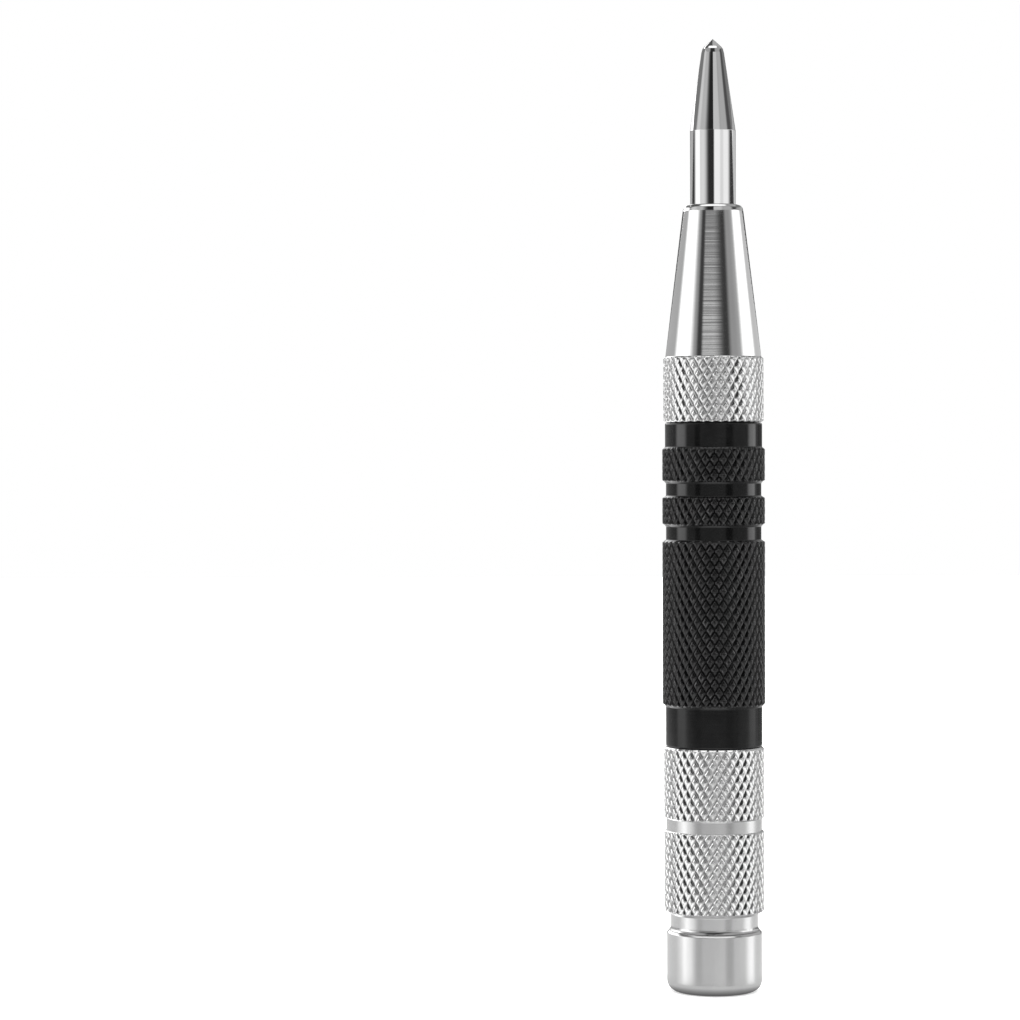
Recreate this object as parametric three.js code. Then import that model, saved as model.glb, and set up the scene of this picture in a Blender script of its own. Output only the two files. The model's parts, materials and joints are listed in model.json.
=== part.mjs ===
// Automatic (spring-loaded) center punch, in millimetres.
// The punch stands on its end cap: the origin is the centre of the cap's flat end face,
// and +Z runs along the axis to the point. Every piece is turned about Z, except the
// retaining clip and the two coil springs.

import * as THREE from 'three';

// ---------------------------------------------------------------- driving dimensions

const POINT_Z = 130;                 // overall length
const TIP_RADIUS = 3.1;              // hardened tip, along its shank
const KNURL_RADIUS = 6.825;          // crest of the knurl on the bright pieces
const GRIP_RADIUS = 7.0;             // crest of the knurl on the black barrel
const RUNNING_GAP = 0.08;            // on the radius, between sliding round pieces
const SEAM = 0.05;                   // axial gap at each parting line

// Heights of the parting lines and of the features along the axis.
const CAP_TOP = 8.36;
const SLEEVE_TOP = 33.5;
const BARREL_TOP = 77.7;
const NOSE_COLLAR_TOP = 86.6;
const NOSE_CONE_TOP = 106.5;
const NOSE_TOP = 107.4;

// The mechanism.
const TIP_REAR = 76.0;               // rear face of the tip at rest
const CLIP_THICKNESS = 0.7;
const CLIP_Z = 81.05;                // rear face of the clip
const CLIP_BORE = 4.8;               // pocket in the nose that the clip slides in
const WEB_BOTTOM = 52.0;             // rear face of the centring bush, where the hammer stops
const WEB_TOP = 56.0;
const CHAMBER_RADIUS = 4.5;          // hammer chamber in the barrel
const FRONT_BORE_RADIUS = 4.95;      // barrel bore ahead of the hammer chamber
const PIN_RADIUS = 1.45;             // shaft of the trip pin
const COLLAR_RADIUS = 1.9;           // thick part of the trip pin, which the bush centres
const PIN_TILT = THREE.MathUtils.degToRad(1.05);
const PIN_PIVOT_Z = 75.9;            // domed head of the trip pin, against the tip
const HAMMER_FRONT = WEB_BOTTOM - SEAM;
const HAMMER_REAR = 38.95;
const SPIGOT_RADIUS = 5.6;           // male threads at both ends of the barrel and nose
const THREAD_BORE_RADIUS = 5.65;
const SPIGOT_BOTTOM = 18.0;
const SEAT_BOTTOM = 12.55;
const SEAT_TOP = 14.05;
const SLEEVE_FLOOR = SEAT_BOTTOM - SEAM;
const PLUG_RADIUS = 3.95;            // plug of the end cap, pressed into the sleeve
const PLUG_TOP = 12.2;
const MAIN_WIRE = 1.1;
const RETURN_WIRE = 0.5;
const SPRING_BOSS_RADIUS = 2.9;      // boss at each end of the main spring
const FINE_EDGE = 0.15;              // small and large chamfers
const CHAMFER = 0.3;

const OUTER_SIDES = 40;
const INNER_SIDES = 32;

// ---------------------------------------------------------------- finishes

const finish = (color, roughness, metalness) =>
  new THREE.MeshStandardMaterial({ color, roughness, metalness });

const hardenedSteel = finish(0xd8dadc, 0.12, 1);
const polishedNickel = finish(0xdcdcda, 0.18, 1);
const satinNickel = finish(0xc4c5c6, 0.34, 1);
const blackOxide = finish(0x17181a, 0.38, 0.6);
const springSteel = finish(0x6f7276, 0.4, 1);
const blackSpringSteel = finish(0x1c1d1f, 0.5, 0.8);
const brass = finish(0xb9975a, 0.35, 1);

// ---------------------------------------------------------------- shape helpers

// A turned piece: a closed outline of [radius, height] points, anticlockwise, so that the
// outside runs upwards. An outline that touches the axis starts and ends there.
function turned(name, outline, material, sides = OUTER_SIDES) {
  const onAxis = outline[0][0] === 0;
  const closed = onAxis ? outline : [...outline, outline[0]];
  const points = closed.map(([radius, height]) => new THREE.Vector2(radius, height));
  const geometry = new THREE.LatheGeometry(points, sides);
  geometry.rotateX(Math.PI / 2);
  return named(name, geometry, material);
}

function named(name, geometry, material) {
  const mesh = new THREE.Mesh(geometry, material);
  mesh.name = name;
  return mesh;
}

// Points on an arc in a turned outline, from one angle to another, in degrees.
function arc(centreRadius, centreHeight, size, fromAngle, toAngle, steps) {
  return Array.from({ length: steps + 1 }, (_, i) => {
    const angle = THREE.MathUtils.degToRad(fromAngle + ((toAngle - fromAngle) * i) / steps);
    return [centreRadius + size * Math.cos(angle), centreHeight + size * Math.sin(angle)];
  });
}

// A knurled band on an outline: a plain stretch at the crest radius with a chamfer at
// each end, down to the plain radii beside it.
function band(bottom, top, crest, below, above) {
  return [
    [below, bottom],
    [crest, bottom + (crest - below)],
    [crest, top - (crest - above)],
    [above, top],
  ];
}

// ---------------------------------------------------------------- tip and its clip

function punchTip() {
  const grooveRadius = 2.0;
  const grooveSlack = 0.05;
  const rearChamfer = 0.6;
  const taperStart = 117.45;
  const coneStart = 128.6;
  const coneRadius = 1.475;
  return turned('punch_tip', [
    [0, TIP_REAR],
    [TIP_RADIUS - rearChamfer, TIP_REAR],
    [TIP_RADIUS, TIP_REAR + rearChamfer],
    [TIP_RADIUS, CLIP_Z - grooveSlack],
    [grooveRadius, CLIP_Z - grooveSlack],
    [grooveRadius, CLIP_Z + CLIP_THICKNESS + grooveSlack],
    [TIP_RADIUS, CLIP_Z + CLIP_THICKNESS + grooveSlack],
    [TIP_RADIUS, taperStart],
    [coneRadius, coneStart],
    [0, POINT_Z],
  ], hardenedSteel, INNER_SIDES);
}

// An E-clip: a ring open on one side, with three lugs that reach into the tip's groove.
function retainingClip() {
  const outer = 4.65;
  const recess = 3.3;
  const lug = 2.06;
  const mouth = 145;                 // angles from the middle lug
  const sideLug = 116;
  const recessFar = 110;
  const recessNear = 26;
  const middleLug = 20;
  const degreesPerStep = 9;

  const ringArc = (radius, from, to) => {
    const steps = Math.max(2, Math.round(Math.abs(to - from) / degreesPerStep));
    return Array.from({ length: steps + 1 }, (_, i) => {
      const angle = THREE.MathUtils.degToRad(from + ((to - from) * i) / steps);
      return new THREE.Vector2(radius * Math.cos(angle), radius * Math.sin(angle));
    });
  };

  const shape = new THREE.Shape([
    ...ringArc(outer, -mouth, mouth),
    ...ringArc(lug, mouth, sideLug),
    ...ringArc(recess, recessFar, recessNear),
    ...ringArc(lug, middleLug, -middleLug),
    ...ringArc(recess, -recessNear, -recessFar),
    ...ringArc(lug, -sideLug, -mouth),
  ]);
  const settings = { depth: CLIP_THICKNESS, bevelEnabled: false, steps: 1 };
  const clip = named('tip_retaining_clip', new THREE.ExtrudeGeometry(shape, settings),
    blackSpringSteel);
  clip.position.z = CLIP_Z;
  return clip;
}

// ---------------------------------------------------------------- nose

// One turned piece: a polished cone, a knurled collar, and a threaded spigot behind them.
// The tip runs in its bore, and the clip stops against the shoulder inside.
function noseCone() {
  const bore = TIP_RADIUS + RUNNING_GAP;
  const shoulder = CLIP_Z + CLIP_THICKNESS + FINE_EDGE;
  const collarBottom = BARREL_TOP + SEAM;
  const spigotBottom = 70.3;
  const coneBase = 6.55;
  const coneFront = 4.135;
  const coneEdge = 3.865;            // between the rounded edge and the lip's face
  const lipRadius = 3.45;
  const collarFoot = 6.5;
  return turned('nose_cone', [
    [CLIP_BORE, spigotBottom],
    [SPIGOT_RADIUS - CHAMFER, spigotBottom],
    [SPIGOT_RADIUS, spigotBottom + CHAMFER],
    [SPIGOT_RADIUS, collarBottom],
    ...band(collarBottom, NOSE_COLLAR_TOP, KNURL_RADIUS, collarFoot, coneBase),
    [coneFront, NOSE_CONE_TOP],
    [coneEdge, NOSE_TOP - FINE_EDGE],
    [lipRadius, NOSE_TOP],
    [bore, NOSE_TOP],
    [bore, shoulder],
    [CLIP_BORE, shoulder],
  ], polishedNickel);
}

// ---------------------------------------------------------------- barrel

// Black knurled tube, threaded inside at the front for the nose and outside at the rear
// for the adjuster. The ledge between its two bores carries the centring bush.
function barrel() {
  const rearShoulder = SLEEVE_TOP + SEAM;
  const rearSmooth = 6.575;
  const frontSmooth = 6.625;
  const grooveRadius = 6.5;
  const threadBottom = 70.1;
  const longBand = [39.0, 61.75];
  const rearRing = [63.6, 67.75];
  const frontRing = [69.5, 74.4];
  return turned('barrel', [
    [CHAMBER_RADIUS, SPIGOT_BOTTOM],
    [SPIGOT_RADIUS - CHAMFER, SPIGOT_BOTTOM],
    [SPIGOT_RADIUS, SPIGOT_BOTTOM + CHAMFER],
    [SPIGOT_RADIUS, rearShoulder],
    [rearSmooth - FINE_EDGE, rearShoulder],
    [rearSmooth, rearShoulder + FINE_EDGE],
    ...band(...longBand, GRIP_RADIUS, rearSmooth, grooveRadius),
    ...band(...rearRing, GRIP_RADIUS, grooveRadius, grooveRadius),
    ...band(...frontRing, GRIP_RADIUS, grooveRadius, frontSmooth),
    [frontSmooth, BARREL_TOP - FINE_EDGE],
    [frontSmooth - FINE_EDGE, BARREL_TOP],
    [THREAD_BORE_RADIUS, BARREL_TOP],
    [THREAD_BORE_RADIUS, threadBottom],
    [FRONT_BORE_RADIUS, threadBottom],
    [FRONT_BORE_RADIUS, WEB_BOTTOM],
    [CHAMBER_RADIUS, WEB_BOTTOM],
  ], blackOxide);
}

// ---------------------------------------------------------------- release mechanism

// Hard bush pressed against the ledge in the barrel. Its hole straightens the trip pin,
// and its rear face stops the hammer.
function centringBush() {
  const bushRadius = FRONT_BORE_RADIUS - SEAM;
  const hole = COLLAR_RADIUS + 0.07;
  const leadIn = 0.6;
  return turned('centring_bush', [
    [hole, WEB_BOTTOM + SEAM],
    [bushRadius, WEB_BOTTOM + SEAM],
    [bushRadius, WEB_TOP],
    [hole + leadIn, WEB_TOP],
    [hole, WEB_TOP - leadIn],
  ], hardenedSteel, INNER_SIDES);
}

// The pin leans at rest, so that its end catches the hammer's face beside the bore. Its
// domed head bears on the tip, and the lean is about the middle of that dome.
function tripPin() {
  const headRadius = 3.4;
  const headBottom = 74.2;
  const domeEdge = 75.45;
  const domeShoulder = 75.75;
  const taperTop = 64.5;
  const taperBottom = 63.3;
  const pinEnd = WEB_BOTTOM + 2 * SEAM;
  const fromPivot = (outline) => outline.map(([r, z]) => [r, z - PIN_PIVOT_Z]);
  const pin = turned('trip_pin', fromPivot([
    [0, pinEnd],
    [PIN_RADIUS - FINE_EDGE, pinEnd],
    [PIN_RADIUS, pinEnd + FINE_EDGE],
    [PIN_RADIUS, taperBottom],
    [COLLAR_RADIUS, taperTop],
    [COLLAR_RADIUS, headBottom],
    [headRadius, headBottom],
    [headRadius, domeEdge],
    [headRadius * 0.6, domeShoulder],
    [0, PIN_PIVOT_Z],
  ]), hardenedSteel, INNER_SIDES);
  pin.position.z = PIN_PIVOT_Z;
  pin.rotation.y = PIN_TILT;
  return pin;
}

// The hammer has a blind bore in its front face, which the straightened pin drops into,
// and a boss behind that holds the main spring.
function hammer() {
  const radius = CHAMBER_RADIUS - RUNNING_GAP;
  const bore = PIN_RADIUS + 0.1;
  const boreDepth = 8;
  const drillPoint = 0.5;
  const bossLength = 3;
  return turned('hammer', [
    [0, HAMMER_REAR - bossLength],
    [SPRING_BOSS_RADIUS - CHAMFER, HAMMER_REAR - bossLength],
    [SPRING_BOSS_RADIUS, HAMMER_REAR - bossLength + CHAMFER],
    [SPRING_BOSS_RADIUS, HAMMER_REAR],
    [radius - CHAMFER, HAMMER_REAR],
    [radius, HAMMER_REAR + CHAMFER],
    [radius, HAMMER_FRONT - CHAMFER],
    [radius - CHAMFER, HAMMER_FRONT],
    [bore, HAMMER_FRONT],
    [bore, HAMMER_FRONT - boreDepth],
    [0, HAMMER_FRONT - boreDepth - drillPoint],
  ], hardenedSteel, INNER_SIDES);
}

// ---------------------------------------------------------------- springs

// The centre line of a compression spring with one closed turn at each end. The radius
// runs evenly from the bottom turn to the top one, and heights are those of the wire's
// centre.
class CoilLine extends THREE.Curve {
  constructor({ bottom, top, wire, turns, bottomRadius, topRadius }) {
    super();
    Object.assign(this, { bottom, top, turns, bottomRadius, topRadius });
    this.closedPitch = wire * 1.04;
    this.arcLengthDivisions = turns * 40;
  }

  openFraction(turn) {
    return THREE.MathUtils.clamp((turn - 1) / (this.turns - 2), 0, 1);
  }

  heightAt(turn) {
    const closedTurns = Math.min(turn, 1) + Math.max(turn - (this.turns - 1), 0);
    const openRise = this.top - this.bottom - 2 * this.closedPitch;
    return this.bottom + closedTurns * this.closedPitch + this.openFraction(turn) * openRise;
  }

  getPoint(t, target = new THREE.Vector3()) {
    const turn = t * this.turns;
    const angle = turn * 2 * Math.PI;
    const radius = THREE.MathUtils.lerp(this.bottomRadius, this.topRadius,
      this.openFraction(turn));
    return target.set(radius * Math.cos(angle), radius * Math.sin(angle), this.heightAt(turn));
  }
}

function coilSpring(name, { from, to, wire, turns, bottomRadius, topRadius }) {
  const stepsPerTurn = 18;
  const quarterSides = 3;
  const line = new CoilLine({
    bottom: from + wire / 2 + SEAM,
    top: to - wire / 2 - SEAM,
    wire, turns, bottomRadius, topRadius,
  });
  const section = new THREE.Shape();
  section.absarc(0, 0, wire / 2, 0, 2 * Math.PI);
  const geometry = new THREE.ExtrudeGeometry(section, {
    steps: turns * stepsPerTurn,
    curveSegments: quarterSides,
    extrudePath: line,
  });
  return named(name, geometry, springSteel);
}

const returnSpring = () => coilSpring('return_spring', {
  from: WEB_TOP,
  to: 74.2,
  wire: RETURN_WIRE,
  turns: 8,
  bottomRadius: 4.3,
  topRadius: 2.6,
});

const mainSpring = () => coilSpring('main_spring', {
  from: SEAT_TOP,
  to: HAMMER_REAR,
  wire: MAIN_WIRE,
  turns: 9,
  bottomRadius: 3.75,
  topRadius: 3.75,
});

// ---------------------------------------------------------------- adjuster

// Thrust disc between the main spring and the adjuster, so that the spring doesn't wind
// up as the adjuster is turned.
function rearSpringSeat() {
  const radius = 5.4;
  const bossTop = 15.6;
  return turned('rear_spring_seat', [
    [0, SEAT_BOTTOM],
    [radius, SEAT_BOTTOM],
    [radius, SEAT_TOP],
    [SPRING_BOSS_RADIUS, SEAT_TOP],
    [SPRING_BOSS_RADIUS, bossTop - CHAMFER],
    [SPRING_BOSS_RADIUS - CHAMFER, bossTop],
    [0, bossTop],
  ], brass, INNER_SIDES);
}

// Knurled sleeve that screws onto the rear of the barrel and sets the spring's load. Its
// neck flares out to the cap behind it.
function adjusterSleeve() {
  const neck = 5.975;
  const ring = 6.525;
  const plugHole = PLUG_RADIUS + SEAM;
  const bottom = CAP_TOP + SEAM;
  const flare = 1.0;                 // radius of the hollow flare
  const flareSweep = 38;             // degrees
  const flareTop = bottom + flare * Math.sin(THREE.MathUtils.degToRad(flareSweep));
  const rearBand = [10.7, 22.05];
  const frontBand = [23.7, SLEEVE_TOP];
  return turned('adjuster_sleeve', [
    [plugHole, bottom],
    ...arc(neck + flare, flareTop, flare, 180 + flareSweep, 180, 3),
    ...band(...rearBand, KNURL_RADIUS, neck, ring),
    ...band(...frontBand, KNURL_RADIUS, ring, ring),
    [THREAD_BORE_RADIUS + CHAMFER, SLEEVE_TOP],
    [THREAD_BORE_RADIUS, SLEEVE_TOP - CHAMFER],
    [THREAD_BORE_RADIUS, SLEEVE_FLOOR],
    [plugHole, SLEEVE_FLOOR],
  ], polishedNickel);
}

// Smooth rounded cap that closes the sleeve, where the palm pushes. Its flat face is what
// the punch stands on.
function endCap() {
  const radius = 6.5;
  const flatRadius = 4.95;
  const fillet = radius - flatRadius;
  return turned('end_cap', [
    [0, 0],
    ...arc(flatRadius, fillet, fillet, -90, 0, 6),
    [radius, CAP_TOP - CHAMFER],
    [radius - CHAMFER, CAP_TOP],
    [PLUG_RADIUS, CAP_TOP],
    [PLUG_RADIUS, PLUG_TOP - CHAMFER],
    [PLUG_RADIUS - CHAMFER, PLUG_TOP],
    [0, PLUG_TOP],
  ], satinNickel);
}

// ---------------------------------------------------------------- assembly

const punch = new THREE.Group();
punch.add(
  punchTip(),
  retainingClip(),
  noseCone(),
  barrel(),
  centringBush(),
  tripPin(),
  returnSpring(),
  hammer(),
  mainSpring(),
  rearSpringSeat(),
  adjusterSleeve(),
  endCap(),
);

export default punch;
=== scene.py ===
"""Looks of an automatic center punch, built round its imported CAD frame, in metres."""

import json
import math

import bpy
import numpy as np
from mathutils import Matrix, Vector


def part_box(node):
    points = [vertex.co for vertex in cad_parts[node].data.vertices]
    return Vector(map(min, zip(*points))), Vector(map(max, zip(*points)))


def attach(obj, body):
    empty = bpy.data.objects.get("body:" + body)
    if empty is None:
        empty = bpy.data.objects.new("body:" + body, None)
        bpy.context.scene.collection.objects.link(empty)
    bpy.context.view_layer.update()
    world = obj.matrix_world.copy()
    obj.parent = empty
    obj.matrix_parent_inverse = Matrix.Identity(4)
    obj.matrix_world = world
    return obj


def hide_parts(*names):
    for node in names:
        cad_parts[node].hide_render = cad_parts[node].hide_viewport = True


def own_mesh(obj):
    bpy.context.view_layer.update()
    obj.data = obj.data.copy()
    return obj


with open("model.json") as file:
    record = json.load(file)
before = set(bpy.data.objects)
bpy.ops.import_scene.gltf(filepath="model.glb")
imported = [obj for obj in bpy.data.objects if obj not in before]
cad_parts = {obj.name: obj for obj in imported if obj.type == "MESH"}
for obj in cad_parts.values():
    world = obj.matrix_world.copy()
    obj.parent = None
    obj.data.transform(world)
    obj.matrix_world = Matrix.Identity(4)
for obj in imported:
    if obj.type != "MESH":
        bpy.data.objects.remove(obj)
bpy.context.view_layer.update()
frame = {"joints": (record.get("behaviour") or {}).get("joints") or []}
MM = 0.001


# ------------------------------------------------------------------ places, from the frame

def low(node):
    """Height of a CAD node's bottom, in mm."""
    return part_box(node)[0].z / MM


def high(node):
    """Height of a CAD node's top, in mm."""
    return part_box(node)[1].z / MM


def radius(node):
    """Outer radius of a CAD node that is turned about the axis, in mm."""
    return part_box(node)[1].x / MM


TIP_RADIUS = radius("punch_tip")
KNURL_RADIUS = radius("adjuster_sleeve")
GRIP_RADIUS = radius("barrel")
BUSH_RADIUS = radius("centring_bush")
HAMMER_RADIUS = radius("hammer")
SEAT_RADIUS = radius("rear_spring_seat")
CAP_RADIUS = radius("end_cap")

FRONT_BORE = BUSH_RADIUS + 0.05        # barrel bore ahead of the hammer chamber
CHAMBER = HAMMER_RADIUS + 0.08         # barrel bore that the hammer slides in
SPIGOT = 5.6                           # male threads of the nose and barrel
THREAD_BORE = 5.65                     # the plain bores that take them
PLUG = 3.95                            # end cap's plug
CLIP_POCKET = 4.8                      # pocket in the nose that the clip slides in

# Knurling: one lattice of diamonds on every band.
KNURL_PITCH = 2.13                     # height of one diamond
BRIGHT_DIAMONDS = 34                   # round the bright pieces
BLACK_DIAMONDS = 35                    # round the barrel
GROOVE_SLOPE = 0.475                   # depth of a groove, over its share of the pitch

PLAIN_COLUMNS = 192
HOLD = 0.02                            # how close to a stretch's ends its holding rows are
SHORTEST_HELD = 0.5                    # length of the shortest stretch that gets them
MOST_ROUNDED = 0.45                    # share of a stretch that one rounded corner may take
PATTERN_REACH = 1.0                    # how far below its crest a knurl or thread reaches
NEARLY = 1e-6


# ------------------------------------------------------------------ camera

CAMERA_DISTANCE = 0.45
EYE_HEIGHT = 0.0736                    # level with the barrel's front end
AIM_HEIGHT = 0.06589                   # the axis at the middle of the picture
CAMERA_OFFSET = -0.0278                # the punch stands right of the middle
CAMERA_ROLL = math.radians(0.18)       # the punch leans a little in the picture
PICTURE_WIDTH = 0.13937                # width seen at the axis


def add_camera():
    data = bpy.data.cameras.new("camera")
    data.sensor_width = 36
    data.lens = data.sensor_width * CAMERA_DISTANCE / PICTURE_WIDTH
    data.clip_start, data.clip_end = 0.01, 20
    camera = bpy.data.objects.new("camera", data)
    bpy.context.scene.collection.objects.link(camera)
    drop = math.atan((EYE_HEIGHT - AIM_HEIGHT) / CAMERA_DISTANCE)
    camera.location = (CAMERA_OFFSET, -CAMERA_DISTANCE, EYE_HEIGHT)
    camera.rotation_euler = (math.radians(90) - drop, CAMERA_ROLL, 0)
    bpy.context.scene.camera = camera


add_camera()


# ------------------------------------------------------------------ turned meshes

class Knurl:
    """A diamond-knurled stretch between two heights, in mm, cut below a crest radius.
    cells is the number of mesh steps across one diamond, each way, and groove the number
    of those steps that each groove takes."""

    def __init__(self, bottom, top, crest, diamonds, cells=12, groove=6):
        self.bottom, self.top, self.crest = bottom, top, crest
        self.diamonds, self.cells = diamonds, cells
        self.groove = groove / cells
        self.depth = GROOVE_SLOPE * self.groove

    def rows(self):
        step = KNURL_PITCH / self.cells
        count = int((self.top - self.bottom) / step)
        return [self.bottom + step * k for k in range(1, count + 1)]

    def radii(self, angles, height):
        around = angles * self.diamonds / (2 * math.pi)
        along = (height - self.bottom) / KNURL_PITCH
        ridge = np.minimum(zigzag(around + along), zigzag(around - along))
        return self.crest - self.depth * np.maximum(0, 1 - ridge / self.groove)


class Thread:
    """A right-hand screw thread between two heights, in mm."""

    def __init__(self, bottom, top, crest, pitch=1.0, depth=0.5, rows_per_turn=8):
        self.bottom, self.top, self.crest = bottom, top, crest
        self.pitch, self.depth, self.rows_per_turn = pitch, depth, rows_per_turn

    def rows(self):
        step = self.pitch / self.rows_per_turn
        count = int((self.top - self.bottom) / step)
        return [self.bottom + step * k for k in range(1, count + 1)]

    def radii(self, angles, height):
        turn = (height - self.bottom) / self.pitch - angles / (2 * math.pi)
        return self.crest - self.depth * (1 - zigzag(turn))


def zigzag(x):
    """0 at whole numbers, 1 half way between them."""
    return 1 - 2 * np.abs(x - np.floor(x) - 0.5)


def softened(outline, size, steps=3, sharp=()):
    """The outline with each corner rounded over about size mm, but for the corners in
    sharp. The ends stay as they are on an outline that starts on the axis."""
    points = [Vector(p) for p in outline]
    open_ended = points[0].x == 0
    result = []
    for i, corner in enumerate(points):
        if outline[i] in sharp or open_ended and i in (0, len(points) - 1):
            result.append(corner)
            continue
        before, after = points[i - 1], points[(i + 1) % len(points)]
        reach_back = min(size, (before - corner).length * MOST_ROUNDED)
        reach_on = min(size, (after - corner).length * MOST_ROUNDED)
        start = corner + (before - corner).normalized() * reach_back
        end = corner + (after - corner).normalized() * reach_on
        for k in range(steps + 1):
            t = k / steps
            result.append(start * (1 - t) ** 2 + corner * 2 * t * (1 - t) + end * t ** 2)
    return [(p.x, p.y) for p in result]


def rows_of(outline, patterns):
    """The outline's points as rows (radius, height, pattern), with the extra rows that a
    knurl or a thread needs along its stretch. A plain outer stretch gets a row close to each
    end, so that the rounding of its corners doesn't tilt the shading along it."""
    closed = outline if outline[0][0] == 0 else outline + [outline[0]]
    rows = []
    for (r0, z0), (r1, z1) in zip(closed, closed[1:]):
        rows.append((r0, z0, pattern_at(patterns, r0, z0)))
        pattern = pattern_at(patterns, (r0 + r1) / 2, (z0 + z1) / 2)
        length = math.hypot(r1 - r0, z1 - z0)
        shares = []
        if pattern and z1 > z0:
            shares = [(z - z0) / (z1 - z0) for z in pattern.rows() if z0 + 1e-4 < z < z1 - 1e-4]
        elif length > SHORTEST_HELD and z1 > z0:
            shares = [HOLD / length, 1 - HOLD / length]
        rows += [(r0 + (r1 - r0) * t, z0 + (z1 - z0) * t, pattern) for t in shares]
    if outline[0][0] == 0:
        rows.append((*closed[-1], None))
    return rows


def inside(pattern, r, z):
    beside = pattern.bottom - NEARLY <= z <= pattern.top + NEARLY
    return beside and r > pattern.crest - PATTERN_REACH


def pattern_at(patterns, r, z):
    return next((p for p in patterns if inside(p, r, z)), None)


def turned(name, outline, patterns=(), columns=PLAIN_COLUMNS, crease_angle=14):
    """A closed mesh turned about the axis from an outline of (radius, height) in mm, given
    anticlockwise. An outline that touches the axis starts and ends there."""
    rows = rows_of(outline, patterns)
    on_axis = outline[0][0] == 0
    angles = np.arange(columns) * 2 * math.pi / columns
    grid = []
    for r, z, pattern in rows[1:-1] if on_axis else rows:
        radii = np.full(columns, r)
        if pattern:
            radii = np.minimum(radii, pattern.radii(angles, z))
        grid.append(np.column_stack(
            (radii * np.cos(angles), radii * np.sin(angles), np.full(columns, z))))
    vertices = np.concatenate(grid)
    faces = ring_faces(grid, columns, closed=not on_axis)
    if on_axis:
        vertices = np.vstack((vertices, (0, 0, rows[0][1]), (0, 0, rows[-1][1])))
        faces += cap_faces(len(grid), columns)
    return mesh_object(name, vertices * MM, faces, crease_angle)


def ring_faces(grid, columns, closed):
    """Faces between neighbouring rings. Each pair of triangles is split along the
    diagonal that follows the crease in it."""
    faces = []
    along = np.arange(columns)
    nxt = (along + 1) % columns
    count = len(grid)
    for i in range(count if closed else count - 1):
        j = (i + 1) % count
        lower, upper = grid[i], grid[j]
        rising = np.linalg.norm(lower[along] + upper[nxt], axis=1)
        falling = np.linalg.norm(lower[nxt] + upper[along], axis=1)
        a, b = i * columns + along, i * columns + nxt
        c, d = j * columns + nxt, j * columns + along
        if np.ptp(np.linalg.norm(lower[:, :2], axis=1)) < 1e-5 > np.ptp(
                np.linalg.norm(upper[:, :2], axis=1)):
            faces += np.column_stack((a, b, c, d)).tolist()
            continue
        up = rising <= falling
        faces += np.column_stack((a, b, c))[up].tolist()
        faces += np.column_stack((a, c, d))[up].tolist()
        faces += np.column_stack((a, b, d))[~up].tolist()
        faces += np.column_stack((b, c, d))[~up].tolist()
    return faces


def cap_faces(rings, columns):
    """Fans from the two end points on the axis to the first and last rings."""
    first, last = rings * columns, rings * columns + 1
    top = (rings - 1) * columns
    fans = []
    for k in range(columns):
        n = (k + 1) % columns
        fans.append([first, n, k])
        fans.append([last, top + k, top + n])
    return fans


def mesh_object(name, vertices, faces, crease_angle=14):
    mesh = bpy.data.meshes.new(name)
    mesh.from_pydata(vertices.tolist(), [], faces)
    mesh.polygons.foreach_set("use_smooth", [True] * len(mesh.polygons))
    mesh.set_sharp_from_angle(angle=math.radians(crease_angle))
    mesh.update()
    piece = bpy.data.objects.new(name, mesh)
    bpy.context.scene.collection.objects.link(piece)
    return piece


# ------------------------------------------------------------------ materials

class Nodes:
    """A material's or a world's node tree, with short calls for the nodes used here."""

    def __init__(self, owner):
        owner.use_nodes = True
        self.tree = owner.node_tree
        self.tree.nodes.clear()

    def add(self, kind, **values):
        node = self.tree.nodes.new(kind)
        for key, value in values.items():
            setattr(node, key, value)
        return node

    def feed(self, node, **inputs):
        """Sets or links a node's inputs, by name or by number as _0, _1 and so on."""
        for key, value in inputs.items():
            socket = node.inputs[int(key[1:]) if key[0] == "_" else key.replace("_", " ")]
            if isinstance(value, bpy.types.NodeSocket):
                self.tree.links.new(value, socket)
            else:
                socket.default_value = value
        return node

    def math(self, operation, a, b=0.0):
        node = self.add("ShaderNodeMath", operation=operation)
        return self.feed(node, _0=a, _1=b).outputs[0]

    def ramp(self, value, from_low, from_high, to_low=0.0, to_high=1.0):
        """A smooth step from one value to another."""
        node = self.add("ShaderNodeMapRange", interpolation_type="SMOOTHSTEP")
        return self.feed(node, _0=value, _1=from_low, _2=from_high, _3=to_low,
                         _4=to_high).outputs[0]

    def mix(self, factor, a, b):
        node = self.add("ShaderNodeMix", data_type="FLOAT")
        return self.feed(node, _0=factor, _2=a, _3=b).outputs[0]

    def mix_color(self, factor, a, b):
        node = self.add("ShaderNodeMix", data_type="RGBA")
        return self.feed(node, _0=factor, _6=a, _7=b).outputs[2]

    def place(self, scale=(1, 1, 1)):
        """The point in the row frame, scaled."""
        coordinates = self.add("ShaderNodeTexCoord").outputs["Object"]
        return self.feed(self.add("ShaderNodeMapping"), Vector=coordinates,
                         Scale=scale).outputs[0]

    def noise(self, scale, detail=2.0):
        """Noise whose grains are 1/scale metres long, along each axis."""
        node = self.add("ShaderNodeTexNoise")
        return self.feed(node, Vector=self.place(scale), Scale=1.0,
                         Detail=detail).outputs["Fac"]

    def from_axis(self):
        """Distance from the axis, in mm."""
        flat = self.place((1 / MM, 1 / MM, 0))
        return self.feed(self.add("ShaderNodeVectorMath", operation="LENGTH"),
                         _0=flat).outputs["Value"]

    def bump(self, height, distance, normal=None):
        node = self.feed(self.add("ShaderNodeBump"), Height=height, Distance=distance)
        if normal is not None:
            self.feed(node, Normal=normal)
        return node.outputs[0]

    def surface(self, shader):
        output = self.add("ShaderNodeOutputMaterial")
        self.tree.links.new(shader.outputs[0], output.inputs["Surface"])


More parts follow.
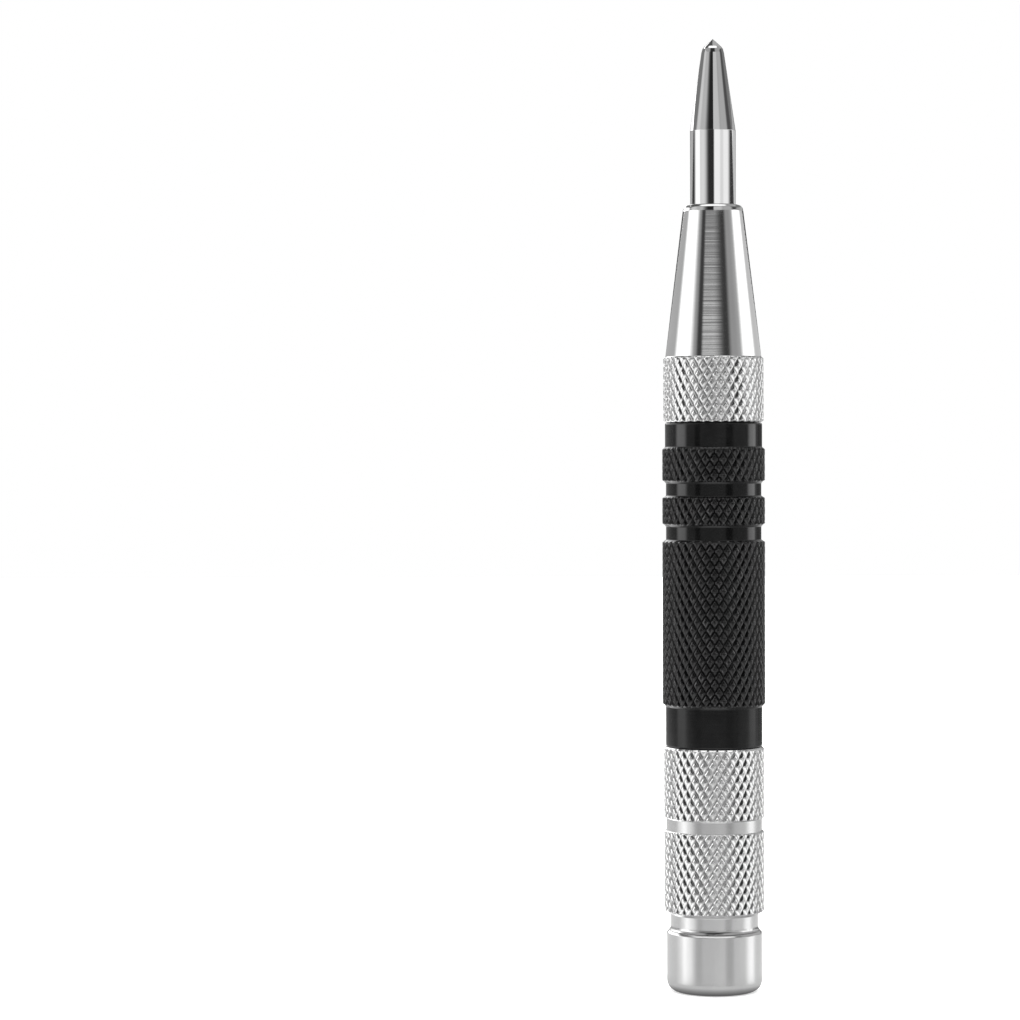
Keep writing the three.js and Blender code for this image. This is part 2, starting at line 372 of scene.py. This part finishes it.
def grey(level, tint=0.0):
    """A neutral colour, bluer for a positive tint."""
    return (level - tint, level, level + tint, 1)


RINGS = (90, 90, 9000)                 # fine turning marks, closely spaced along the axis
BROAD_RINGS = (40, 40, 2200)


def turned_metal(name, tones, roughness, marks, spread, anisotropy=0.5):
    """Bare or plated metal with turning marks round it, smeared between two tones. marks
    is the depth of the finest marks in metres, and spread how much the roughness varies."""
    material = bpy.data.materials.new(name)
    n = Nodes(material)
    fine = n.noise(RINGS, detail=4.0)
    broad = n.noise(BROAD_RINGS, detail=2.0)
    smears = n.noise((260, 260, 90), detail=3.0)
    tone = n.mix_color(n.ramp(smears, 0.3, 0.7), *tones)
    rough = n.math("ADD", roughness, n.math("MULTIPLY", n.math("SUBTRACT", fine, 0.5), spread))
    shader = n.feed(
        n.add("ShaderNodeBsdfPrincipled"),
        Base_Color=tone, Metallic=1.0, Roughness=rough, Anisotropic=anisotropy,
        Anisotropic_Rotation=0.25,
        Normal=n.bump(broad, marks * 4, normal=n.bump(fine, marks)),
        Tangent=n.add("ShaderNodeTangent", direction_type="RADIAL", axis="Z").outputs[0])
    n.surface(shader)
    return material


def knurled_metal(name, level, roughness, crest):
    """Plated metal, a little darker and rougher in patches towards the bottoms of the knurl's
    grooves.
    """
    material = bpy.data.materials.new(name)
    n = Nodes(material)
    groove = n.ramp(n.from_axis(), crest - 0.22, crest - 0.06, 1.0, 0.0)
    fine = n.noise(RINGS, detail=4.0)
    spots = n.noise((1500, 1500, 1500), detail=3.0)
    # In patches down the grooves the tone is a tenth darker and the roughness higher.
    groove_patches = n.math("MULTIPLY", groove, n.ramp(spots, 0.2, 0.6, 0.4, 1.0))
    tone = n.mix_color(groove_patches, grey(level), grey(level * 0.9))
    rough = n.mix(groove_patches, n.mix(n.ramp(fine, 0.3, 0.7), roughness, roughness * 1.4),
                  roughness * 1.3)
    shader = n.feed(
        n.add("ShaderNodeBsdfPrincipled"),
        Base_Color=tone, Metallic=1.0, Roughness=rough,
        Normal=n.bump(spots, 3e-6, normal=n.bump(fine, 1e-6)))
    n.surface(shader)
    return material


def black_finish(name, crest):
    """Glossy black finish with a faintly uneven skin, rubbed along the edges of the knurl's
    crests."""
    material = bpy.data.materials.new(name)
    n = Nodes(material)
    patches = n.noise((900, 900, 700), detail=3.0)
    fine = n.noise(RINGS, detail=3.0)
    grain = n.noise((5200, 5200, 5200), detail=2.0)
    tone = n.mix_color(n.ramp(patches, 0.3, 0.7), grey(0.0015, 0.0001), grey(0.0035, 0.0001))
    size = n.from_axis()
    edge = n.math("SUBTRACT", n.ramp(size, crest - 0.075, crest - 0.05),
                  n.ramp(size, crest - 0.02, crest - 0.004))
    worn = n.math("MULTIPLY", edge, n.ramp(n.noise((1100, 1100, 1100)), 0.53, 0.68))
    tone = n.mix_color(worn, tone, grey(0.10))
    shader = n.feed(
        n.add("ShaderNodeBsdfPrincipled"),
        Base_Color=tone, Metallic=worn, IOR=1.5,
        Roughness=n.mix(n.ramp(fine, 0.3, 0.7), 0.09, 0.13),
        Normal=n.bump(grain, 4e-7, normal=n.bump(fine, 1e-7)))
    n.surface(shader)
    return material


def oiled_wire(name, level, roughness):
    """Drawn spring wire with a mottled skin."""
    material = bpy.data.materials.new(name)
    n = Nodes(material)
    mottle = n.noise((1600, 1600, 1600), detail=4.0)
    tone = n.mix_color(n.ramp(mottle, 0.3, 0.7), grey(level * 0.7), grey(level, 0.01))
    shader = n.feed(
        n.add("ShaderNodeBsdfPrincipled"),
        Base_Color=tone, Metallic=1.0,
        Roughness=n.mix(mottle, roughness, roughness * 1.6),
        Normal=n.bump(mottle, 4e-6))
    n.surface(shader)
    return material


def smeared(level):
    """A grey's tones: a little darker in the smears."""
    return grey(level * 0.95), grey(level)


BRASS_TONES = (0.60, 0.42, 0.19, 1), (0.72, 0.52, 0.25, 1)

MIRROR_STEEL = turned_metal("mirror_steel", smeared(0.80), 0.045, 2e-7, 0.02, anisotropy=0.2)
POLISHED_NICKEL = turned_metal("polished_nickel", smeared(0.78), 0.06, 2.9e-6, 0.04)
SATIN_NICKEL = turned_metal("satin_nickel", smeared(0.76), 0.21, 2.5e-7, 0.06)
GROUND_STEEL = turned_metal("ground_steel", smeared(0.56), 0.24, 2e-6, 0.12)
BRASS = turned_metal("turned_brass", BRASS_TONES, 0.28, 2e-6, 0.1)
BRIGHT_KNURL = knurled_metal("bright_knurl", 0.82, 0.14, KNURL_RADIUS)
BLACK_FINISH = black_finish("black_finish", GRIP_RADIUS)
BLACK_SPRING = oiled_wire("black_spring_steel", 0.06, 0.3)
SPRING_WIRE = oiled_wire("spring_wire", 0.42, 0.26)


def dress(piece, node, body, slot, *materials):
    """Gives a piece its materials, ties it to its body and hides its CAD node. The slot is not
    used.
    """
    for material in materials:
        piece.data.materials.append(material)
    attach(piece, body)
    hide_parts(node)
    return piece


def paint(piece, index, where):
    """Gives the faces whose centre passes where(radius, height), in mm, one material."""
    mesh = piece.data
    centres = np.zeros(len(mesh.polygons) * 3)
    mesh.polygons.foreach_get("center", centres)
    centres = centres.reshape(-1, 3) / MM
    chosen = where(np.hypot(centres[:, 0], centres[:, 1]), centres[:, 2])
    indices = np.zeros(len(mesh.polygons), np.int32)
    mesh.polygons.foreach_get("material_index", indices)
    indices[chosen] = index
    mesh.polygons.foreach_set("material_index", indices)


# ------------------------------------------------------------------ visible pieces

def add_punch_tip():
    rear, point = low("punch_tip"), high("punch_tip")
    groove_bottom, groove_top = low("tip_retaining_clip") - 0.05, high("tip_retaining_clip") + 0.05
    groove = 2.0
    taper_edge = (TIP_RADIUS, point - 12.55)
    cone_start, cone_radius = point - 1.4, 1.475
    outline = [
        (0, rear),
        (TIP_RADIUS - 0.6, rear),
        (TIP_RADIUS, rear + 0.6),
        (TIP_RADIUS, groove_bottom),
        (groove, groove_bottom),
        (groove, groove_top),
        (TIP_RADIUS, groove_top),
        taper_edge,
        (cone_radius + 0.07, cone_start - 0.5),
        (cone_radius - 0.07, cone_start + 0.04),
        (cone_radius - 0.33, cone_start + 0.38),
        (0.09, point - 0.05),
        (0, point),
    ]
    piece = turned("tip", softened(outline, 0.07, sharp=[taper_edge]))
    dress(piece, "punch_tip", "plunger", "hardened_steel", MIRROR_STEEL)


def add_nose():
    spigot_bottom, top = low("nose_cone"), high("nose_cone")
    collar_bottom = high("barrel") + 0.05
    collar_top = 86.65
    cone_base, cone_front, lip = 6.55, 4.135, 3.45
    bore = TIP_RADIUS + 0.08
    shoulder = high("tip_retaining_clip") + 0.15
    outer = [
        (SPIGOT - 0.3, spigot_bottom),
        (SPIGOT, spigot_bottom + 0.3),
        (SPIGOT, collar_bottom),
        (KNURL_RADIUS - 0.35, collar_bottom),
        (KNURL_RADIUS, collar_bottom + 0.25),
        (KNURL_RADIUS, collar_top - 0.15),
        (cone_base, collar_top),
        (cone_front, top - 0.9),
    ]
    nose_lip = [
        (cone_front - 0.1, top - 0.42),
        (cone_front - 0.34, top - 0.12),
        (lip, top),
    ]
    inner = [
        (bore, top),
        (bore, shoulder),
        (CLIP_POCKET, shoulder),
        (CLIP_POCKET, spigot_bottom),
    ]
    knurl = Knurl(collar_bottom, collar_top, KNURL_RADIUS, BRIGHT_DIAMONDS)
    piece = turned("nose", softened(outer + nose_lip + inner, 0.08), [knurl],
                   BRIGHT_DIAMONDS * knurl.cells, crease_angle=48)
    dress(piece, "nose_cone", "housing", "polished_nickel", POLISHED_NICKEL, BRIGHT_KNURL)
    paint(piece, 1, lambda r, z: (z > collar_bottom) & (z < collar_top) & (r > SPIGOT + 0.1))


def add_barrel():
    bottom, top = low("barrel"), high("barrel")
    shoulder = high("adjuster_sleeve") + 0.05
    rear_smooth, front_smooth, groove = 6.575, 6.625, 6.5
    relief = shoulder - 1.4            # where the rear thread ends in a plain neck
    ledge = low("centring_bush") - 0.05
    thread_end = low("nose_cone") - 0.2
    uncovered = bottom + 10            # the adjuster can bare the thread above this
    bands = [(39.0, 61.75), (63.6, 67.75), (69.5, 74.4)]
    beside = [(rear_smooth, groove), (groove, groove), (groove, front_smooth)]
    outline = [
        (SPIGOT - 0.5, bottom),
        (SPIGOT, bottom + 0.5),
        (SPIGOT, uncovered),
        (SPIGOT, relief - 0.2),
        (SPIGOT - 0.5, relief),
        (SPIGOT - 0.5, shoulder),
        (rear_smooth - 0.12, shoulder),
        (rear_smooth, shoulder + 0.12),
    ]
    for (start, end), (below, above) in zip(bands, beside):
        outline += [
            (below, start),
            (below + 0.1, start + 0.01),
            (below + 0.15, start + 0.16),
            (GRIP_RADIUS, start + 0.4),
            (GRIP_RADIUS, end - 0.3),
            (above, end),
        ]
    outline += [
        (front_smooth, top - 0.15),
        (front_smooth - 0.15, top),
    ]
    bore = [
        (THREAD_BORE, top),
        (THREAD_BORE, thread_end),
        (FRONT_BORE, thread_end),
        (FRONT_BORE, ledge),
        (CHAMBER, ledge),
        (CHAMBER, bottom),
    ]
    patterns = [Knurl(start, end, GRIP_RADIUS, BLACK_DIAMONDS, cells=10, groove=5)
                for start, end in bands]
    columns = BLACK_DIAMONDS * patterns[0].cells
    patterns.append(Thread(bottom, uncovered, SPIGOT, rows_per_turn=3))
    patterns.append(Thread(uncovered, relief, SPIGOT))
    rounded = softened(outline + bore, 0.06, steps=1, sharp=bore)
    piece = turned("barrel_body", rounded, patterns, columns, crease_angle=48)
    dress(piece, "barrel", "housing", "black_finish", BLACK_FINISH)


def add_sleeve():
    bottom, top = low("adjuster_sleeve"), high("adjuster_sleeve")
    neck, ring = 5.975, 6.525
    floor = low("rear_spring_seat") - 0.05
    rear_band, front_band = (10.7, 22.05), (23.7, top)
    flare, sweep = 1.0, math.radians(38)
    hollow = [(neck + flare * (1 - math.cos(a)), bottom + flare * (math.sin(sweep) - math.sin(a)))
              for a in np.linspace(sweep, 0, 9)]
    outline = [
        (PLUG + 0.05, bottom),
        *hollow,
        (neck, rear_band[0] - 0.1),
        (neck + 0.15, rear_band[0]),
        (KNURL_RADIUS, rear_band[0] + 0.42),
        (KNURL_RADIUS, rear_band[1] - 0.18),
        (ring, rear_band[1]),
        (ring, front_band[0]),
        (KNURL_RADIUS, front_band[0] + 0.18),
        (KNURL_RADIUS, top - 0.28),
        (KNURL_RADIUS - 0.28, top),
        (THREAD_BORE + 0.3, top),
        (THREAD_BORE, top - 0.3),
        (THREAD_BORE, floor),
        (PLUG + 0.05, floor),
    ]
    patterns = [Knurl(*band, KNURL_RADIUS, BRIGHT_DIAMONDS) for band in (rear_band, front_band)]
    piece = turned("sleeve", softened(outline, 0.05), patterns,
                   BRIGHT_DIAMONDS * patterns[0].cells, crease_angle=48)
    dress(piece, "adjuster_sleeve", "adjuster", "knurled_nickel", SATIN_NICKEL, BRIGHT_KNURL)

    def on_band(r, z):
        return (r > neck + 0.1) & (((z > rear_band[0]) & (z < rear_band[1])) | (z > front_band[0]))

    paint(piece, 1, on_band)


def add_end_cap():
    bottom, top = low("end_cap"), high("end_cap")
    shoulder = low("adjuster_sleeve") - 0.05
    fillet = 1.55
    centre = CAP_RADIUS - fillet
    corner = [(centre + fillet * math.sin(a), bottom + fillet * (1 - math.cos(a)))
              for a in np.linspace(0, math.pi / 2, 13)]
    corner_points = 4                  # softened makes four of each corner
    upper = softened([
        (CAP_RADIUS, shoulder - 0.4),
        (CAP_RADIUS, shoulder - 0.3),
        (CAP_RADIUS - 0.3, shoulder),
        (PLUG, shoulder),
        (PLUG, top - 0.3),
        (PLUG - 0.3, top),
        (0, top),
    ], 0.1)
    outline = [(0, bottom)] + corner + upper[corner_points:-corner_points] + [(0, top)]
    piece = turned("palm_cap", outline)
    dress(piece, "end_cap", "adjuster", "satin_nickel", SATIN_NICKEL)


# ------------------------------------------------------------------ pieces inside

def add_clip():
    """E-clip: an open ring with three lugs in the tip's groove."""
    bottom, top = low("tip_retaining_clip"), high("tip_retaining_clip")
    outer, recess, lug, mouth = 4.65, 3.3, 2.06, 145
    stretches = [(outer, -mouth, mouth), (lug, mouth, 116), (recess, 110, 26),
                 (lug, 20, -20), (recess, -26, -110), (lug, -116, -mouth)]
    rim = []
    for size, start, end in stretches:
        steps = max(4, int(abs(end - start) / 4))
        for angle in np.radians(np.linspace(start, end, steps)):
            rim.append((size * math.cos(angle), size * math.sin(angle)))
    rim = np.array(rim)
    count = len(rim)
    levels = [(bottom, 0.06), (bottom + 0.06, 0.0), (top - 0.06, 0.0), (top, 0.06)]
    inward = inset_direction(rim)
    layers = [np.column_stack((rim + inward * inset, np.full(count, z))) for z, inset in levels]
    faces = []
    for level in range(len(levels) - 1):
        for k in range(count):
            n = (k + 1) % count
            faces.append([level * count + k, level * count + n,
                          (level + 1) * count + n, (level + 1) * count + k])
    faces.append(list(range(count))[::-1])
    faces.append([(len(levels) - 1) * count + k for k in range(count)])
    piece = mesh_object("e_clip", np.concatenate(layers) * MM, faces)
    dress(piece, "tip_retaining_clip", "plunger", "black_spring_steel", BLACK_SPRING)


def inset_direction(rim):
    """Unit vectors into a closed anticlockwise outline, at each of its points."""
    edges = np.roll(rim, -1, axis=0) - rim
    edges /= np.linalg.norm(edges, axis=1)[:, None]
    normals = np.column_stack((-edges[:, 1], edges[:, 0]))
    inward = normals + np.roll(normals, 1, axis=0)
    return inward / np.linalg.norm(inward, axis=1)[:, None]


def add_bush():
    bottom, top = low("centring_bush"), high("centring_bush")
    hole = 1.97
    outline = [
        (hole, bottom + 0.15),
        (hole + 0.15, bottom),
        (BUSH_RADIUS - 0.15, bottom),
        (BUSH_RADIUS, bottom + 0.15),
        (BUSH_RADIUS, top - 0.15),
        (BUSH_RADIUS - 0.15, top),
        (hole + 0.6, top),
        (hole, top - 0.6),
    ]
    piece = turned("bush", softened(outline, 0.06))
    dress(piece, "centring_bush", "housing", "ground_steel", GROUND_STEEL)


def add_trip_pin():
    """Built upright about its pivot, then leant as the CAD pin leans."""
    pivot_joint = next(j for j in frame["joints"] if j["name"] == "trip_pin_tilt")
    pivot = pivot_joint["pos_m"][2] / MM
    lean = math.radians(pivot_joint["range_deg"][1])
    head_bottom, head_edge, head_radius = 74.2 - pivot, 75.45 - pivot, 3.4
    end = low("centring_bush") + 0.05 - pivot
    collar, shaft = 1.9, 1.45
    taper_top, taper_bottom = 64.5 - pivot, 63.3 - pivot
    outline = [
        (0, end),
        (shaft - 0.2, end),
        (shaft, end + 0.2),
        (shaft, taper_bottom),
        (collar, taper_top),
        (collar, head_bottom),
        (head_radius, head_bottom),
        (head_radius, head_edge),
        (head_radius * 0.6, -0.15),
        (0, 0),
    ]
    piece = turned("trip_rod", softened(outline, 0.1))
    tilt = np.array([[math.cos(lean), 0, math.sin(lean)], [0, 1, 0],
                     [-math.sin(lean), 0, math.cos(lean)]])
    points = np.array([v.co for v in piece.data.vertices]) @ tilt.T
    points[:, 2] += pivot * MM
    piece.data.vertices.foreach_set("co", points.ravel())
    piece.data.update()
    dress(piece, "trip_pin", "trip", "ground_steel", GROUND_STEEL)


def add_hammer():
    bottom, top = low("hammer"), high("hammer")
    spigot, spigot_length = 2.9, 3.0
    bore, bore_depth = 1.55, 8.0
    rear = bottom + spigot_length
    outline = [
        (0, bottom),
        (spigot - 0.3, bottom),
        (spigot, bottom + 0.3),
        (spigot, rear),
        (HAMMER_RADIUS - 0.3, rear),
        (HAMMER_RADIUS, rear + 0.3),
        (HAMMER_RADIUS, top - 0.3),
        (HAMMER_RADIUS - 0.3, top),
        (bore + 0.1, top),
        (bore, top - 0.1),
        (bore, top - bore_depth),
        (0, top - bore_depth - 0.5),
    ]
    piece = turned("strike_hammer", softened(outline, 0.08))
    dress(piece, "hammer", "striker", "ground_steel", GROUND_STEEL)


def add_spring_seat():
    bottom, top = low("rear_spring_seat"), high("rear_spring_seat")
    boss, face = 2.9, bottom + 1.5
    outline = [
        (0, bottom),
        (SEAT_RADIUS - 0.2, bottom),
        (SEAT_RADIUS, bottom + 0.2),
        (SEAT_RADIUS, face - 0.2),
        (SEAT_RADIUS - 0.2, face),
        (boss, face),
        (boss, top - 0.3),
        (boss - 0.3, top),
        (0, top),
    ]
    piece = turned("thrust_disc", softened(outline, 0.06))
    dress(piece, "rear_spring_seat", "spring_seat", "brass", BRASS)


def coil(name, node, wire, turns, bottom_radius, top_radius, sides=14, steps_per_turn=48):
    """A compression spring with one closed turn at each end, swept from round wire."""
    bottom = low(node) + wire / 2
    top = high(node) - wire / 2
    turn = np.linspace(0, turns, turns * steps_per_turn + 1)
    closed_pitch = wire * 1.04         # the closed turns almost touch
    open_share = np.clip((turn - 1) / (turns - 2), 0, 1)
    closed = np.minimum(turn, 1) + np.maximum(turn - (turns - 1), 0)
    height = bottom + closed * closed_pitch + open_share * (top - bottom - 2 * closed_pitch)
    size = bottom_radius + (top_radius - bottom_radius) * open_share
    angle = turn * 2 * math.pi
    line = np.column_stack((size * np.cos(angle), size * np.sin(angle), height))
    outward = np.column_stack((np.cos(angle), np.sin(angle), np.zeros_like(angle)))
    along = np.gradient(line, axis=0)
    along /= np.linalg.norm(along, axis=1)[:, None]
    across = np.cross(along, outward)
    around = np.arange(sides) * 2 * math.pi / sides
    rings = [line + wire / 2 * (math.cos(a) * outward + math.sin(a) * across) for a in around]
    vertices = np.stack(rings, axis=1).reshape(-1, 3)
    faces = []
    for i in range(len(line) - 1):
        for k in range(sides):
            n = (k + 1) % sides
            faces.append([i * sides + k, (i + 1) * sides + k, (i + 1) * sides + n, i * sides + n])
    faces.append(list(range(sides)))
    faces.append([(len(line) - 1) * sides + k for k in range(sides)][::-1])
    return mesh_object(name, vertices * MM, faces, crease_angle=40)


def add_springs():
    """The two springs, each with its own copy of its mesh."""

    front = coil("cone_spring", "return_spring", 0.5, 8, 4.3, 2.6)
    dress(front, "return_spring", "housing", "spring_steel", SPRING_WIRE)
    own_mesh(front)

    rear = coil("drive_spring", "main_spring", 1.1, 9, 3.75, 3.75)
    dress(rear, "main_spring", "spring_seat", "spring_steel", SPRING_WIRE)
    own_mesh(rear)


add_punch_tip()
add_nose()
add_barrel()
add_sleeve()
add_end_cap()
add_clip()
add_bush()
add_trip_pin()
add_hammer()
add_spring_seat()
add_springs()


# ------------------------------------------------------------------ studio

class Panel:
    """A soft-edged panel of the light tent round the punch. Azimuth 0 is towards the camera
    and positive to the right. fade is how far the panel fades out beyond its left and
    right ends, and soft how far above and below it. All are in degrees. A drooping
    panel's height is where it faces the camera, and it sinks towards the sides, as its
    reflection in an upright cone does."""

    def __init__(self, brightness, azimuth, height, fade=(8, 8), soft=0.4, droops=False):
        self.brightness, self.azimuth, self.height = brightness, azimuth, height
        self.fade, self.soft, self.droops = fade, soft, droops


def drooping(brightness, azimuth, height, fade, soft=1.0):
    return Panel(brightness, azimuth, height, fade, soft, droops=True)


# The tent in storeys: the heights that each stretch of the punch mirrors.
REAR = (-24, -5.6)                     # cap, neck and ring
BARREL = (-5.2, 1.4)
SHANK = (2.6, 8.5)
NOSE = (11, 28)
LEFT, RIGHT = -200, 200

# Later panels lie over earlier ones.
WALLS = 0.4
TENT = [
    Panel(2.20, (LEFT, -116), (-90, 36), (14, 16), 6),         # behind, left
    Panel(0.48, (134, RIGHT), (-90, 36), (16, 12), 6),         # behind, right
    Panel(0.10, (LEFT, -112), (42, 90), (14, 18), 5),          # over the back, for the point
    Panel(0.50, (134, RIGHT), (42, 90), (16, 12), 5),
    Panel(1.24, (-32, 38), (-90, -28), (22, 22), 4),           # table in front

    Panel(0.78, (LEFT, RIGHT), REAR),
    Panel(1.35, (-77, -61), REAR, (14, 14)),                   # left softbox's foot
    Panel(1.30, (92, 105), REAR, (14, 12)),                    # right softbox's foot
    Panel(0.62, (-42, -34), REAR, (8, 8)),
    Panel(0.54, (32, 42), REAR, (8, 10)),

    Panel(0.30, (LEFT, RIGHT), BARREL),
    Panel(0.15, (-56, 56), (-5.2, -3.4), (10, 10), 0.8),
    Panel(1.05, (-91, -77), BARREL, (13, 13)),
    Panel(0.75, (100, 112), BARREL, (12, 12)),
    Panel(2.40, (-91, -77), (0, 5), (13, 13), 5),              # left softbox
    Panel(2.30, (98, 112), (0, 5), (12, 12), 5),               # right softbox
    Panel(0.14, (134, RIGHT), BARREL, (6, 8)),
    Panel(0.05, (-42, -35), (-2.5, 1.4), (6, 6), 1.5),         # gaps beside the camera
    Panel(0.05, (33, 43), (-2.5, 1.4), (7, 8), 1.5),

    Panel(0.05, (LEFT, RIGHT), SHANK),
    Panel(1.30, (-92, -72), SHANK, (20, 14)),
    Panel(0.86, (-60, -50), SHANK, (12, 34)),
    Panel(1.08, (2, 76), SHANK, (4, 26)),
    Panel(0.86, (42, 48), SHANK, (10, 12)),
    Panel(0.03, (-10, 2), SHANK, (28, 8)),

    drooping(0.50, (LEFT, RIGHT), NOSE, (8, 8)),
    drooping(0.35, (-50, 56), NOSE, (12, 22)),
    drooping(0.72, (-26, 18), (14.0, 15.4), (8, 20), 0.8),     # slits that its lines pick up
    drooping(0.24, (-26, 18), (18.2, 24), (8, 20), 0.8),
    drooping(1.70, (-95, -68), NOSE, (18, 22)),
    drooping(1.60, (84, 112), NOSE, (14, 24)),
    drooping(0.66, (128, RIGHT), NOSE, (14, 8)),
    drooping(0.055, (-37, -32), NOSE, (10, 8)),
    drooping(0.055, (32, 36), NOSE, (34, 14)),

    Panel(0.03, (-20, 18), (21.5, 56), (16, 16), 1.5),         # dark opening overhead
    Panel(1.40, (-100, 100), (66, 84), (14, 14), 6),           # roof
]


def add_tent():
    """Surrounds the punch with the panels. The camera itself sees a white backdrop."""
    scene = bpy.context.scene
    scene.world = bpy.data.worlds.new("tent")
    n = Nodes(scene.world)
    direction = n.add("ShaderNodeTexCoord").outputs["Generated"]
    azimuth = azimuth_of(n, direction)
    height = n.feed(n.add("ShaderNodeSeparateXYZ"), _0=direction).outputs[2]
    elevation = n.math("ARCSINE", height)
    droop = n.math("MAXIMUM", n.math("COSINE", n.math("MULTIPLY", azimuth, 0.5)), 0.1)
    faced = n.math("DIVIDE", elevation, droop)
    level = WALLS
    for panel in TENT:
        rise = faced if panel.droops else elevation
        mask = n.math("MULTIPLY", window(n, azimuth, *panel.azimuth, *panel.fade),
                      window(n, rise, *panel.height, panel.soft, panel.soft))
        level = n.mix(mask, level, panel.brightness)
    tent = n.feed(n.add("ShaderNodeBackground"), Color=(1, 1, 1, 1), Strength=level)
    backdrop = n.feed(n.add("ShaderNodeBackground"), Color=(1, 1, 1, 1), Strength=1.0)
    seen = n.add("ShaderNodeLightPath").outputs["Is Camera Ray"]
    both = n.feed(n.add("ShaderNodeMixShader"), _0=seen, _1=tent.outputs[0],
                  _2=backdrop.outputs[0])
    n.tree.links.new(both.outputs[0], n.add("ShaderNodeOutputWorld").inputs["Surface"])


def azimuth_of(n, direction):
    """Azimuth of a direction, or of a point seen from the axis: 0 is towards the camera."""
    x, y, _ = n.feed(n.add("ShaderNodeSeparateXYZ"), _0=direction).outputs
    towards_camera = math.atan(CAMERA_OFFSET / CAMERA_DISTANCE)
    return n.math("SUBTRACT", n.math("ARCTAN2", x, n.math("MULTIPLY", y, -1.0)),
                  towards_camera)


def window(n, value, start, end, before, after):
    """1 from start to end, fading to 0 over before degrees and after degrees beyond."""
    start, end, before, after = (math.radians(a) for a in (start, end, before, after))
    rise = n.ramp(value, start - before, start)
    return n.math("SUBTRACT", rise, n.ramp(value, end, end + after))


CLEARANCE = 0.00001                    # keeps the foot, its shade and the table apart


def add_floor():
    """A pale table top that glows everywhere but close round the foot, where the missing glow
    leaves a painted contact shadow. Its own reflection in the punch is left out, so that the
    panels light the lower end as they do the upper."""
    size = 3.0
    bpy.ops.mesh.primitive_plane_add(size=size, location=(0, 0, -2 * CLEARANCE))
    floor = bpy.context.object
    floor.name = "table_top"
    floor.visible_glossy = False
    material = bpy.data.materials.new("table_top")
    n = Nodes(material)
    fleck = n.noise((60, 60, 60), detail=2.0)
    tone = n.mix_color(fleck, grey(0.86), grey(0.88))
    # Painted light: the table glows, and the glow fades to nothing close round the foot as a
    # painted contact shadow.
    glow_with_painted_foot_shadow = n.ramp(n.from_axis(), CAP_RADIUS - 2.2, CAP_RADIUS - 0.8, 0.0, 0.6)
    n.surface(n.feed(n.add("ShaderNodeBsdfPrincipled"), Base_Color=tone, Roughness=0.9,
                     Emission_Color=grey(1.0), Emission_Strength=glow_with_painted_foot_shadow))
    floor.data.materials.append(material)


def add_foot_shade():
    """A glowing disc that only reflections see, in place of the table close round the punch: a
    painted reflection with painted shade, dark round the foot, as the cap's rounded foot mirrors
    it.
    """
    inner, outer, edge = CAP_RADIUS - 1.8, CAP_RADIUS + 2, CAP_RADIUS + 9
    angles = np.arange(PLAIN_COLUMNS) * 2 * math.pi / PLAIN_COLUMNS
    rim = np.column_stack((np.cos(angles), np.sin(angles), np.zeros(PLAIN_COLUMNS)))
    shade = mesh_object("foot_shade", rim * edge * MM, [list(range(PLAIN_COLUMNS))])
    shade.location.z = -CLEARANCE
    shade.visible_camera = shade.visible_diffuse = shade.visible_shadow = False
    material = bpy.data.materials.new("foot_shade")
    n = Nodes(material)
    # Painted shade and painted reflection: dim close round the foot, brighter further out.
    level = n.ramp(n.from_axis(), inner, outer, 0.06, 0.66)
    n.surface(n.feed(n.add("ShaderNodeEmission"), Color=grey(1.0), Strength=level))
    shade.data.materials.append(material)


def add_overhead_light():
    """Soft light from above, which keeps the table white."""
    data = bpy.data.lights.new("overhead", "SUN")
    data.energy = 2.6
    data.angle = math.radians(80)
    lamp = bpy.data.objects.new("overhead", data)
    bpy.context.scene.collection.objects.link(lamp)
    lamp.visible_glossy = False


# A ring of light that only the tip's taper mirrors, in spans of azimuth.
RING_RADIUS = 0.1
RING_HEIGHTS = (0.1415, 0.185)
RING_BASE = 0.22
# Each is a brightness, its azimuths and its fade.
RING = [
    (0.74, (-86, -68), (14, 14)),
    (0.56, (-62, -48), (14, 26)),
    (0.02, (-16, 0), (28, 7)),
    (0.64, (5, 30), (4, 20)),
    (0.48, (48, 72), (16, 14)),
    (0.09, (88, 100), (12, 16)),
]


def add_ring():
    angles = np.arange(PLAIN_COLUMNS) * 2 * math.pi / PLAIN_COLUMNS
    rim = np.column_stack((np.cos(angles), np.sin(angles))) * RING_RADIUS
    vertices = np.concatenate([np.column_stack((rim, np.full(PLAIN_COLUMNS, z)))
                               for z in RING_HEIGHTS])
    around = np.arange(PLAIN_COLUMNS)
    nxt = (around + 1) % PLAIN_COLUMNS
    faces = np.column_stack((around, nxt, PLAIN_COLUMNS + nxt, PLAIN_COLUMNS + around))
    ring = mesh_object("ring_light", vertices, faces.tolist())
    ring.visible_camera = ring.visible_diffuse = ring.visible_shadow = False
    material = bpy.data.materials.new("ring_light")
    n = Nodes(material)
    azimuth = azimuth_of(n, n.place())
    level = RING_BASE
    for brightness, span, fade in RING:
        level = n.mix(window(n, azimuth, *span, *fade), level, brightness)
    n.surface(n.feed(n.add("ShaderNodeEmission"), Color=grey(1.0), Strength=level))
    ring.data.materials.append(material)


add_tent()
add_floor()
add_foot_shade()
add_overhead_light()
add_ring()
bpy.context.scene.view_settings.view_transform = "Standard"
bpy.context.scene.view_settings.look = "None"
